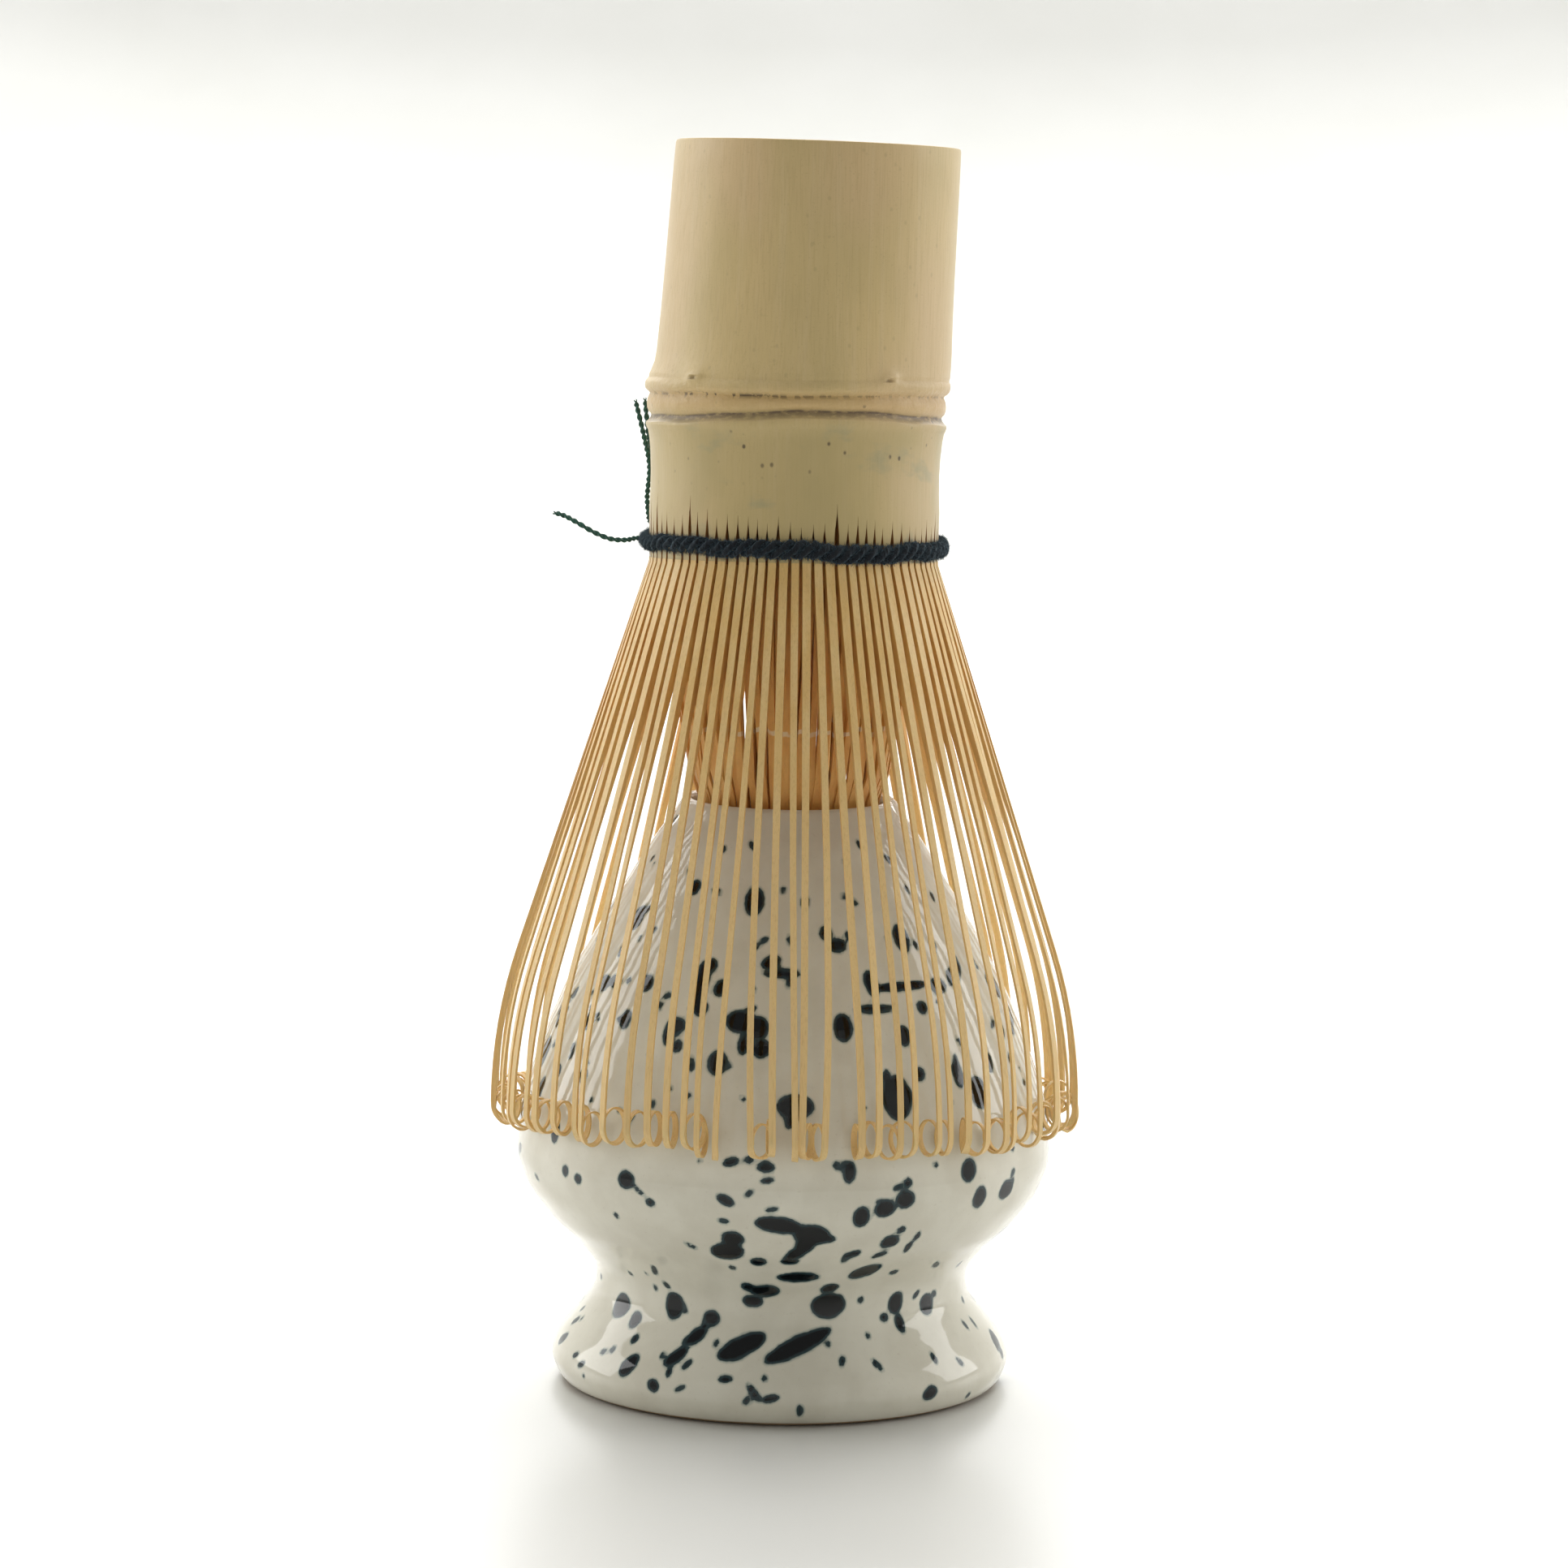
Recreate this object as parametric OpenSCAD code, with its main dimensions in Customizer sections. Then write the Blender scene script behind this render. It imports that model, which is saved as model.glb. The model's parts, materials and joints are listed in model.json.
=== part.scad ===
// Bamboo tea whisk resting on its ceramic stand, in millimetres.
// The origin is the centre of the stand's foot on the table; +Z is up and -Y is the front.
// The whisk leans a little back in the mouth of the stand, as a loose whisk does.

/* [Handle] */
// Outside diameter of the handle at its cut end
handle_d = 30.2; // [29:0.1:31]
// Length of the handle from the node to its cut end
handle_l = 27.4; // [22:0.2:32]
// Diameter over the ridge of the node
node_d = 32.4; // [32:0.1:33]
// Diameter of the waist between the node and the yarn
barrel_d = 30.8; // [30.6:0.1:31]
// Diameter of the hollow in the handle
hollow_d = 20; // [16:0.5:22]
// Angle by which the handle bends sideways at the node
handle_bend = 3; // [0:0.5:4]

/* [Tines] */
// Diameter over the outer tines where they spread most
spread_d = 63.2; // [63:0.1:64]
// Width of one outer tine
tine_w = 0.9; // [0.6:0.05:1]
// Width of one inner tine
inner_w = 0.45; // [0.3:0.05:0.5]
// Thickness of a shaved tine near its tip
tip_t = 0.22; // [0.18:0.01:0.26]
// Thickness of an unshaved tine at its root
root_t = 1.1; // [0.8:0.05:1.2]
// Angle that a tine's tip curls through
curl_turn = 300; // [200:10:320]

/* [Binding] */
// Height of the band of yarn
yarn_h = 3; // [2.4:0.1:3.2]
// How far the yarn stands proud of the tines
yarn_t = 1.15; // [0.8:0.05:1.4]
// Diameter of the loose green thread
thread_d = 0.55; // [0.4:0.05:0.7]

/* [Stand] */
// Height of the ceramic stand
stand_h = 63.4; // [62.8:0.1:63.6]
// Largest diameter of the stand
stand_d = 57.2; // [56:0.1:57.4]
// Diameter of the waist above the foot
waist_d = 39.8; // [38:0.2:42]
// Diameter of the foot
foot_d = 49.2; // [46:0.2:50]
// Inside diameter of the mouth
mouth_d = 20.8; // [20.6:0.1:21]
// Thickness of the stand's wall
wall_t = 3; // [2.4:0.1:3.4]

/* [Hidden] */
// Angle by which the resting whisk leans back in the mouth
whisk_lean = 3;
$fn = 96;
SECTORS = 8;
TINES = 72;
INNER_GROUPS = 4;
pitch_a = 360 / TINES;

// Heights above the table of the whisk's own features.
node_z = 105.6;
split_z = 94;
yarn_z = 90.4;
free_z = yarn_z - yarn_h / 2 - 0.4;
turn_z = 30.2;
inner_tip_z = 27.5;

// Outer splints and tines.
splint_r = barrel_d / 2 + 0.05;
root_gap = 0.15;
spread_r = spread_d / 2;
belly_r = 55;
curl_r0 = 1.3;
curl_r1 = 0.9;
curl_tall = 1.35;
shave_z0 = 76;
shave_z1 = 64;

// A leaning whisk would drag its ring of tips off the stand's axis, so the tines make it up.
ring_shift = (stand_h - turn_z) * tan(whisk_lean);

handle_offset = 0.45;
septum_t = 2;
barrel_bore_d = 23;

// Smooth curve through a list of points, four short steps between each two.
function mix4(a, b, c, d, t) =
    0.5 * (2 * b + (c - a) * t + (2 * a - 5 * b + 4 * c - d) * t * t + (3 * b - a - 3 * c + d) * t * t * t);
function smooth(p, steps = 4) = concat(
    [for (i = [0 : len(p) - 2], s = [0 : steps - 1])
        mix4(p[max(i - 1, 0)], p[i], p[i + 1], p[min(i + 2, len(p) - 1)], s / steps)],
    [p[len(p) - 1]]);

// Direction of a path at point i, and the strip of material on its inner side.
function heading(p, i) = let (v = p[min(i + 1, len(p) - 1)] - p[max(i - 1, 0)]) v / norm(v);
function inner_side(p, t) = [for (i = [len(p) - 1 : -1 : 0]) let (d = heading(p, i)) p[i] + t[i] * [d.y, -d.x]];
function strip(p, t) = concat(p, inner_side(p, t));

// Thickness of a tine at a height: thick at the root, shaved thin below.
function shaved(z) = z > shave_z0 ? root_t
    : z > shave_z1 ? tip_t + (root_t - tip_t) * (z - shave_z1) / (shave_z0 - shave_z1)
    : tip_t;

// Outer face of an outer tine: straight flare, long belly, then a curl that tucks inwards.
function flare_angle(r) = let (c = [r - belly_r, turn_z], v = [splint_r, free_z] - c)
    atan2(v.y, v.x) - acos(belly_r / norm(v));
function outer_path(r) = concat(
    [[splint_r, free_z]],
    [for (s = [0 : 5]) let (a = flare_angle(r) * (1 - s / 6)) [r - belly_r + belly_r * cos(a), turn_z + belly_r * sin(a)]],
    [for (s = [0 : 12]) let (a = curl_turn * s / 12, c = curl_r0 - (curl_r0 - curl_r1) * s / 12)
        [r - curl_r0 + c * cos(a), turn_z - curl_tall * c * sin(a)]]);

// Outer face of an inner tine, drawn in through the mouth of the stand.
function inner_path(tip_r) = [
    [13.9, split_z], [13.9, 88], [12.4, shave_z0], [10.6, 66], [9.7, stand_h], [(9.7 + tip_r) / 2, 45], [tip_r, inner_tip_z]];

// Round tube swept along a list of points.
module tube(points, d, sides = 8) {
    n = len(points);
    rings = [for (i = [0 : n - 1])
        let (t = points[min(i + 1, n - 1)] - points[max(i - 1, 0)], w = t / norm(t),
             u0 = cross(w, abs(w.x) > 0.9 ? [0, 1, 0] : [1, 0, 0]), u = u0 / norm(u0), v = cross(w, u))
        for (k = [0 : sides - 1]) points[i] + d / 2 * (cos(k * 360 / sides) * u + sin(k * 360 / sides) * v)];
    sides_f = [for (i = [0 : n - 2], k = [0 : sides - 1])
        [i * sides + k, i * sides + (k + 1) % sides, (i + 1) * sides + (k + 1) % sides, (i + 1) * sides + k]];
    ends_f = [[for (k = [sides - 1 : -1 : 0]) k], [for (k = [0 : sides - 1]) (n - 1) * sides + k]];
    polyhedron(rings, concat(sides_f, ends_f));
}

// Everything on the whisk stands in this frame, tipped back about the centre of the mouth.
module whisk_frame() {
    translate([0, 0, stand_h])
        rotate([-whisk_lean, 0, 0])
            translate([0, 0, -stand_h])
                children();
}

// One flat tine, w wide, standing in the radial plane at an angle.
module tine(outline, w, angle) {
    rotate([0, 0, angle])
        translate([0, w / 2, 0])
            rotate([90, 0, 0])
                linear_extrude(w)
                    polygon(outline);
}

// Ceramic stand: round foot, waist, full shoulder and a small mouth, hollow inside.
module whisk_stand() {
    r = stand_d / 2;
    foot_r = foot_d / 2;
    waist_r = waist_d / 2;
    mouth_r = mouth_d / 2;
    lip_r = mouth_r + 0.8;
    ring_r = foot_r - 6;
    floor_z = 5;
    low = [[foot_r - 2, 0], [foot_r - 0.5, 1], [foot_r, 3], [foot_r - 1, 5.3], [waist_r + 1.3, 8.2]];
    middle = [[waist_r, 11.6], [waist_r + 1.6, 14.8], [r - 3.9, 17.8], [r - 1.2, 21.2], [r, 25.4]];
    shoulder = [[r - 2.2, 36], [r - 5.1, 43.2], [r - 9, 50.4], [r - 13.7, 58.2], [lip_r + 0.9, 62.4]];
    lip = [[lip_r, stand_h], [mouth_r + 0.1, stand_h - 0.7], [mouth_r, stand_h - 2]];
    neck_in = [[mouth_r, stand_h - 3.6], [r - 12.4, 54.6]];
    hollow_in = [for (k = [[r - 9, 50.4], [r - 5.1, 43.2], [r - 2.2, 36], [r, 25.4], [r - 3.9, 17.8]]) k - [wall_t, 0]];
    bottom_in = [[waist_r - wall_t, 12], [waist_r - wall_t - 1.5, 7], [waist_r - wall_t - 4, floor_z]];
    outside = smooth(concat(low, middle, shoulder, lip));
    inside = smooth(concat(neck_in, hollow_in, bottom_in));
    color("ivory")
        difference() {
            rotate_extrude()
                polygon(concat([[0, 0]], outside, inside, [[0, floor_z]]));
            translate([0, 0, -1])
                cylinder(r = ring_r, h = 2.2);
        }
}

// Handle, node and barrel of the culm: a tube closed by a septum at the node.
module handle_culm() {
    barrel_r = barrel_d / 2;
    node_r = node_d / 2;
    lip_z = node_z - 2.2;
    barrel = [[barrel_r + 0.1, split_z], [barrel_r, split_z + 3], [barrel_r + 0.5, lip_z - 0.6], [barrel_r + 0.3, lip_z + 0.2]];
    ridge = [[node_r - 0.6, lip_z + 1], [node_r - 0.2, node_z + 0.6], [node_r, node_z + 1.2], [node_r - 0.7, node_z + 2.6]];
    color("tan")
        whisk_frame() {
            difference() {
                rotate_extrude()
                    polygon(concat([[0, split_z]], barrel, ridge, [[0, node_z + 2.6]]));
                translate([0, 0, split_z - 1])
                    cylinder(d = barrel_bore_d, h = node_z - septum_t - split_z + 1);
                translate([0, 0, node_z])
                    cylinder(d = hollow_d, h = handle_l);
            }
            translate([handle_offset, 0, node_z])
                rotate([0, handle_bend, 0])
                    difference() {
                        cylinder(r1 = node_r - 0.7, r2 = handle_d / 2 + 0.3, h = 7);
                        translate([0, 0, -1])
                            cylinder(d = hollow_d, h = 9);
                    }
            translate([handle_offset, 0, node_z])
                rotate([0, handle_bend, 0])
                    translate([0, 0, 7])
                        difference() {
                            cylinder(r1 = handle_d / 2 + 0.3, r2 = handle_d / 2, h = handle_l - 7);
                            translate([0, 0, -1])
                                cylinder(d = hollow_d, h = handle_l);
                        }
        }
}

// Upper ends of the outer splints, between the barrel and the free tines.
module splint_roots() {
    low_z = free_z + root_gap;
    r_in = splint_r - root_t;
    block = [[r_in, low_z], [splint_r, low_z], [splint_r, split_z], [r_in, split_z]];
    color("tan")
        whisk_frame()
            for (i = [0 : TINES - 1])
                tine(block, tine_w, (i + 0.5) * pitch_a);
}

// A group of outer tines that bends as one; group 1 faces the front.
module outer_tines(k) {
    per = TINES / SECTORS;
    first_a = -90 + (k - 1.5) * 360 / SECTORS;
    color("burlywood")
        whisk_frame()
            for (i = [0 : per - 1]) {
                a = first_a + (i + 0.5) * pitch_a;
                path = outer_path(spread_r + ring_shift * sin(a));
                tine(strip(path, [for (p = path) shaved(p.y)]), tine_w, a);
            }
}

// A quarter of the inner tines; neighbours end on two circles so that they never meet.
module inner_tines(k) {
    per = TINES / INNER_GROUPS;
    color("peru")
        whisk_frame()
            for (i = [0 : per - 1]) {
                path = inner_path(i % 2 == 0 ? 4.9 : 6.6);
                tine(strip(path, [for (p = path) shaved(p.y)]), inner_w, ((k - 1) * per + i) * pitch_a);
            }
}

// Band of woolly yarn round the outer splints.
module binding_yarn() {
    half_t = yarn_t / 2;
    ring_r = splint_r + 0.05 + half_t;
    color("midnightblue")
        whisk_frame()
            rotate_extrude()
                polygon([for (a = [0 : 22.5 : 337.5]) [ring_r + half_t * cos(a), yarn_z + yarn_h / 2 * sin(a)]]);
}

// Loose end of the green thread at the left.
side_route = [[-16.9, 0, 90.8], [-18, -0.2, 90.6], [-19.6, -0.4, 90.7], [-21.4, -0.5, 91.4], [-23.2, -0.4, 92.4], [-24.6, -0.2, 93.1], [-25.8, 0, 93.4]];
// Two loose ends that stand up behind the left edge of the barrel.
up_route_a = [[-15.6, 6.2, 92.2], [-15.9, 5.8, 95], [-15.7, 5.4, 98.5], [-16.4, 4.6, 102], [-17.3, 3.8, 105.6]];
up_route_b = [[-14.6, 8, 92.2], [-14.9, 7.4, 95], [-15.5, 6.6, 98.5], [-15.9, 5.9, 102], [-16.3, 5.2, 105.8]];

module thread_tail_side() {
    color("darkgreen")
        whisk_frame()
            tube(smooth(side_route), thread_d);
}

module thread_tails_up() {
    color("darkgreen")
        whisk_frame() {
            tube(smooth(up_route_a), thread_d);
            tube(smooth(up_route_b), thread_d);
        }
}

whisk_stand();
handle_culm();
splint_roots();
binding_yarn();
thread_tail_side();
thread_tails_up();
for (k = [1 : INNER_GROUPS])
    inner_tines(k);
for (k = [1 : SECTORS])
    outer_tines(k);
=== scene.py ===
# %% [markdown]
# # A bamboo tea whisk on its glazed stand
# One length of bamboo makes the whole whisk: the handle is left round, and below the node the
# wall of the culm is split into fine strips. Half of them are spread outwards and curled, the
# other half are drawn together inside. A woolly yarn is plaited round them to hold the two sets
# apart. The stand keeps that shape while the whisk dries.
#
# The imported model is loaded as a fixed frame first. Its joints say where the tines hinge and
# how far the whisk leans back, so those values are read from it.

# %% Load the fixed frame
import json
import math
import random

import bmesh
import bpy
import numpy as np
from mathutils import Matrix, Vector, noise


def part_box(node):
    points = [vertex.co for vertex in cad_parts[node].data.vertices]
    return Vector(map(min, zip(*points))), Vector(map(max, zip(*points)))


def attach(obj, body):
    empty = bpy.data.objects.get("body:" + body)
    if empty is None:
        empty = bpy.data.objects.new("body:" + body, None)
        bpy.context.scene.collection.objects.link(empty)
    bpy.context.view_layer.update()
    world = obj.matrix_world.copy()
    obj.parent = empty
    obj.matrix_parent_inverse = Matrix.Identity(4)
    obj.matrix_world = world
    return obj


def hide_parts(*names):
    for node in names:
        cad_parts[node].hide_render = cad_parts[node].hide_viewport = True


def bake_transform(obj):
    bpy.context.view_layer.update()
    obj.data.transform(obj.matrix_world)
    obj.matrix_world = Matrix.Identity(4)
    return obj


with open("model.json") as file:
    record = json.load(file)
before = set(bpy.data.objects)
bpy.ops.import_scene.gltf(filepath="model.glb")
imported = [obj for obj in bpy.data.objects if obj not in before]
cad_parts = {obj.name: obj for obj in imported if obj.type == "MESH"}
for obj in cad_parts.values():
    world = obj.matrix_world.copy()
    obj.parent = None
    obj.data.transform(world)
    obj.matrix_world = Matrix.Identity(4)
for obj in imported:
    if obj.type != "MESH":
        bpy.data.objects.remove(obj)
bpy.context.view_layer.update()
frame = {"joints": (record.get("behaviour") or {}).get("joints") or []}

MM = 0.001
joints = {joint["name"]: joint for joint in frame["joints"]}
STAND_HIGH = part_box("whisk_stand")[1]
STAND_H = STAND_HIGH[2]
LEAN = math.asin(abs(joints["tine_flex_3"]["axis"][2]))
MOUTH = Matrix.Translation((0, 0, STAND_H))
WHISK = MOUTH @ Matrix.Rotation(-LEAN, 4, "X") @ MOUTH.inverted()
front_hinge = WHISK.inverted() @ Vector(joints["tine_flex_1"]["pos_m"])
SPLINT_R, FREE_Z = -front_hinge.y, front_hinge.z
print(f"stand {STAND_H / MM:.1f} mm tall, whisk leans {math.degrees(LEAN):.1f} degrees")
print(f"tines come free at {FREE_Z / MM:.1f} mm, {SPLINT_R / MM:.2f} mm from the axis")

# %% [markdown]
# ## Camera
# A long lens a little over half a metre away, level with the cut end of the handle, so that the
# handle is seen square on and the foot of the stand from slightly above. The camera is made
# first, because everything else is judged through it.

# %% Camera
CAMERA_BACK = 0.580
CAMERA_UP = 0.137
CAMERA_ASIDE = -0.0006
CAMERA_PITCH = math.radians(7.1)
CAMERA_ROLL = math.radians(1.0)

camera_data = bpy.data.cameras.new("camera")
camera_data.sensor_width = 36
camera_data.lens = 125.2
camera_data.clip_start = 0.01
camera_data.clip_end = 20
camera = bpy.data.objects.new("camera", camera_data)
bpy.context.scene.collection.objects.link(camera)
aim = Matrix.Rotation(math.pi / 2 - CAMERA_PITCH, 4, "X") @ Matrix.Rotation(CAMERA_ROLL, 4, "Z")
camera.matrix_world = Matrix.Translation((CAMERA_ASIDE, -CAMERA_BACK, CAMERA_UP)) @ aim
bpy.context.scene.camera = camera
print(f"camera {CAMERA_BACK / MM:.0f} mm back, with a {camera_data.lens:.1f} mm lens")

# %% [markdown]
# ## Helpers for meshes
# Every piece starts in a bmesh. Round pieces are turned: `turned` spins a half section as a lathe
# or a potter's wheel would. Long thin pieces such as a tine or a strand of yarn are a box or a
# grid from a create operator, whose vertices are then laid along a path. `finish_piece` turns the
# bmesh into an object, makes its faces point outwards and keeps the edges crisp that are sharper
# than an angle.


# %% Mesh helpers
def finish_piece(bm, name, materials, sharp_angle=35):
    bmesh.ops.recalc_face_normals(bm, faces=bm.faces)
    mesh = bpy.data.meshes.new(name)
    bm.to_mesh(mesh)
    bm.free()
    piece = bpy.data.objects.new(name, mesh)
    bpy.context.scene.collection.objects.link(piece)
    for material in materials:
        mesh.materials.append(material)
    mesh.shade_smooth()
    mesh.set_sharp_from_angle(angle=math.radians(sharp_angle))
    print(f"{name}: {len(mesh.polygons)} faces")
    return piece


def turned(outline, steps):
    """A half section turned right round the Z axis."""
    bm = bmesh.new()
    verts = [bm.verts.new(point) for point in outline]
    edges = [bm.edges.new(pair) for pair in zip(verts, verts[1:])]
    bmesh.ops.spin(
        bm, geom=verts + edges, cent=(0, 0, 0), axis=(0, 0, 1),
        angle=2 * math.pi, steps=steps, use_merge=True,
    )
    bmesh.ops.remove_doubles(bm, verts=bm.verts, dist=1e-6)
    return bm


def upright_edges(verts):
    """The upright edges of a unit cube, each of them once."""
    edges = {e: None for v in verts for e in v.link_edges}
    return [e for e in edges if abs(e.verts[0].co.z - e.verts[1].co.z) > 0.5]


def wrapped_grid(bm, along, around, place):
    """A tube: a grid rolled up, its seam merged. place(u, v) gives a point for u and v in 0..1."""
    made = bmesh.ops.create_grid(bm, x_segments=along, y_segments=around, size=0.5)["verts"]
    for vert in made:
        vert.co = place(vert.co.x + 0.5, vert.co.y + 0.5)
    bmesh.ops.remove_doubles(bm, verts=made, dist=1e-7)


def smooth_step(low, high, value):
    """0 at low and 1 at high, with a soft start and end; low may be the greater of the two."""
    t = min(max((value - low) / (high - low), 0), 1)
    return t * t * (3 - 2 * t)


def hump(distance, width):
    """1 at no distance, falling off softly to both sides."""
    return math.exp(-((distance / width) ** 2))


def polar(radius, angle, height):
    return Vector((radius * math.cos(angle), radius * math.sin(angle), height))


def turn_from(start, angle):
    """How far an angle has turned from another, half a turn either way at most."""
    return (angle - start + math.pi) % (2 * math.pi) - math.pi


def curve_point(points, i, t):
    """A point between points i and i + 1 of a smooth curve through all of them, by Catmull-Rom."""
    a, b = points[max(i - 1, 0)], points[i]
    c, d = points[i + 1], points[min(i + 2, len(points) - 1)]
    return 0.5 * (2 * b + (c - a) * t + (2 * a - 5 * b + 4 * c - d) * t**2 + (3 * b - a - 3 * c + d) * t**3)


# %% [markdown]
# ## Helpers for materials
# All finishes are drawn by nodes on Object coordinates, which are metres in the frame, so a
# pattern has a true size: a scale of 1000 makes features of about a millimetre. The finishes of
# the whisk first turn those coordinates upright, so that fibres run along the culm.


# %% Material helpers
def srgb(red, green, blue):
    channels = [c / 255 for c in (red, green, blue)]
    linear = [c / 12.92 if c <= 0.04045 else ((c + 0.055) / 1.055) ** 2.4 for c in channels]
    return (*linear, 1)


class Finish:
    """A material and short calls that add a node and give back its output socket."""

    def __init__(self, name, roughness=0.5, upright=False):
        self.material = bpy.data.materials.new(name)
        self.material.use_nodes = True
        self.tree = self.material.node_tree
        self.shader = self.tree.nodes["Principled BSDF"]
        self.shader.inputs["Roughness"].default_value = roughness
        self.point = self.node("ShaderNodeTexCoord").outputs["Object"]
        if upright:
            mapping = self.node("ShaderNodeMapping")
            self.feed(mapping.inputs["Vector"], self.point)
            mapping.inputs["Location"].default_value = WHISK.inverted().translation
            mapping.inputs["Rotation"].default_value = WHISK.inverted().to_euler()
            self.point = mapping.outputs["Vector"]

    @classmethod
    def around(cls, material):
        """Opens a finished material again, to add to it."""
        look = cls.__new__(cls)
        look.material = material
        look.tree = material.node_tree
        look.shader = look.tree.nodes["Principled BSDF"]
        look.point = next(n for n in look.tree.nodes if n.type == "MAPPING").outputs["Vector"]
        return look

    def node(self, kind, **settings):
        made = self.tree.nodes.new(kind)
        for key, value in settings.items():
            setattr(made, key, value)
        return made

    def feed(self, socket, value):
        if isinstance(value, bpy.types.NodeSocket):
            self.tree.links.new(value, socket)
        else:
            socket.default_value = value

    def stretched(self, scale):
        """The finish's coordinates, stretched by a factor on each axis."""
        mapping = self.node("ShaderNodeMapping")
        self.feed(mapping.inputs["Vector"], self.point)
        mapping.inputs["Scale"].default_value = scale
        return mapping.outputs["Vector"]

    def noise(self, scale, detail=4, roughness=0.55):
        made = self.node("ShaderNodeTexNoise")
        self.feed(made.inputs["Vector"], self.stretched(scale))
        made.inputs["Scale"].default_value = 1
        made.inputs["Detail"].default_value = detail
        made.inputs["Roughness"].default_value = roughness
        return made.outputs["Fac"]

    def cells(self, scale):
        made = self.node("ShaderNodeTexVoronoi")
        self.feed(made.inputs["Vector"], self.stretched(scale))
        made.inputs["Scale"].default_value = 1
        return made.outputs["Distance"]

    def height(self):
        """Height in millimetres."""
        parts = self.node("ShaderNodeSeparateXYZ")
        self.feed(parts.inputs["Vector"], self.stretched((1000, 1000, 1000)))
        return parts.outputs["Z"]

    def ramp(self, value, low, high, out_low=0.0, out_high=1.0):
        made = self.node("ShaderNodeMapRange", interpolation_type="SMOOTHSTEP")
        self.feed(made.inputs["Value"], value)
        limits = {"From Min": low, "From Max": high, "To Min": out_low, "To Max": out_high}
        for key, number in limits.items():
            made.inputs[key].default_value = number
        return made.outputs["Result"]

    def math(self, operation, first, second=0.0):
        made = self.node("ShaderNodeMath", operation=operation)
        self.feed(made.inputs[0], first)
        self.feed(made.inputs[1], second)
        return made.outputs["Value"]

    def mix(self, factor, first, second):
        made = self.node("ShaderNodeMix", data_type="RGBA", blend_type="MIX")
        self.feed(made.inputs["Factor"], factor)
        self.feed(made.inputs["A"], first)
        self.feed(made.inputs["B"], second)
        return made.outputs["Result"]

    def attribute(self, name):
        return self.node("ShaderNodeAttribute", attribute_name=name).outputs["Fac"]

    def bump(self, height, strength, distance, under=None):
        made = self.node("ShaderNodeBump")
        made.inputs["Strength"].default_value = strength
        made.inputs["Distance"].default_value = distance
        self.feed(made.inputs["Height"], height)
        if under is not None:
            self.feed(made.inputs["Normal"], under)
        return made.outputs["Normal"]

    def set(self, **sockets):
        for key, value in sockets.items():
            self.feed(self.shader.inputs[key.replace("_", " ")], value)


# %% [markdown]
# ## Bamboo finishes
# The skin of a dried culm is smooth and dry, khaki tan with a grey-green cast in places, and its
# fibres all run along the culm. Split faces show the flesh: more orange, rougher, and with the
# ends of the fibre bundles as fine dark dots where it is cut across.


# %% Bamboo finishes
def bamboo_skin():
    look = Finish("bamboo_skin", roughness=0.46, upright=True)
    fibres = look.noise((6200, 6200, 160), detail=6, roughness=0.65)
    streaks = look.noise((1300, 1300, 26), detail=3)
    clouds = look.noise((90, 90, 50), detail=3)
    speckle = look.noise((5200, 5200, 5200), detail=2)
    slow = look.noise((42, 42, 26), detail=2)
    colour = look.mix(look.ramp(clouds, 0.35, 0.65), srgb(198, 175, 122), srgb(207, 182, 128))
    colour = look.mix(look.ramp(slow, 0.42, 0.6, 0, 0.55), colour, srgb(208, 178, 136))
    colour = look.mix(look.ramp(streaks, 0.45, 0.75, 0, 0.3), colour, srgb(212, 190, 146))
    colour = look.mix(look.ramp(fibres, 0.45, 0.75, 0, 0.28), colour, srgb(166, 140, 92))
    colour = look.mix(look.ramp(speckle, 0.58, 0.8, 0, 0.3), colour, srgb(150, 126, 84))
    weather = look.attribute("weathered")
    weathered = look.math("MULTIPLY", weather, look.ramp(clouds, 0.35, 0.6, 0.25, 0.8))
    colour = look.mix(weathered, colour, srgb(178, 160, 109))
    bruise = look.ramp(look.noise((130, 130, 240), detail=4), 0.58, 0.72, 0, 0.45)
    colour = look.mix(look.math("MULTIPLY", weather, bruise), colour, srgb(146, 146, 116))
    colour = look.mix(look.attribute("warm"), colour, srgb(202, 160, 104))
    pits = look.ramp(look.cells((700, 700, 560)), 0.07, 0.19, 1, 0)
    pits = look.math("MULTIPLY", pits, look.ramp(look.noise((240, 240, 240), detail=2), 0.47, 0.54))
    pits = look.math("MULTIPLY", pits, look.attribute("pitted"))
    colour = look.mix(look.math("MULTIPLY", pits, 0.85), colour, srgb(74, 58, 44))
    # Painted shade: dark lines in the groove below the node and specks in the pits of the bud scars, broken
    # into patches by noise.
    shade_patches = look.ramp(look.noise((1100, 1100, 2600), detail=3), 0.3, 0.55, 0.35, 1)
    recess_shade = look.math("MULTIPLY", look.attribute("recess_shade"), shade_patches)
    colour = look.mix(recess_shade, colour, srgb(82, 66, 58))
    dots = look.ramp(look.noise((1400, 1400, 900), detail=3), 0.48, 0.54)
    dotted = look.math("MULTIPLY", look.attribute("dotted"), dots)
    colour = look.mix(dotted, colour, srgb(70, 56, 46))
    relief = look.bump(pits, -0.5, 0.0001, look.bump(streaks, 0.15, 0.0001))
    knotty = look.math("MULTIPLY", look.noise((1500, 1500, 2000), detail=4), look.attribute("knotty"))
    relief = look.bump(knotty, 0.5, 0.0003, relief)
    look.set(Base_Color=colour, Roughness=look.ramp(fibres, 0.3, 0.7, 0.4, 0.54))
    look.set(Normal=look.bump(fibres, 0.2, 0.00005, relief))
    look.shader.inputs["Specular IOR Level"].default_value = 0.45
    look.shader.inputs["Sheen Weight"].default_value = 0.2
    look.shader.inputs["Sheen Roughness"].default_value = 0.5
    return look.material


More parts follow.
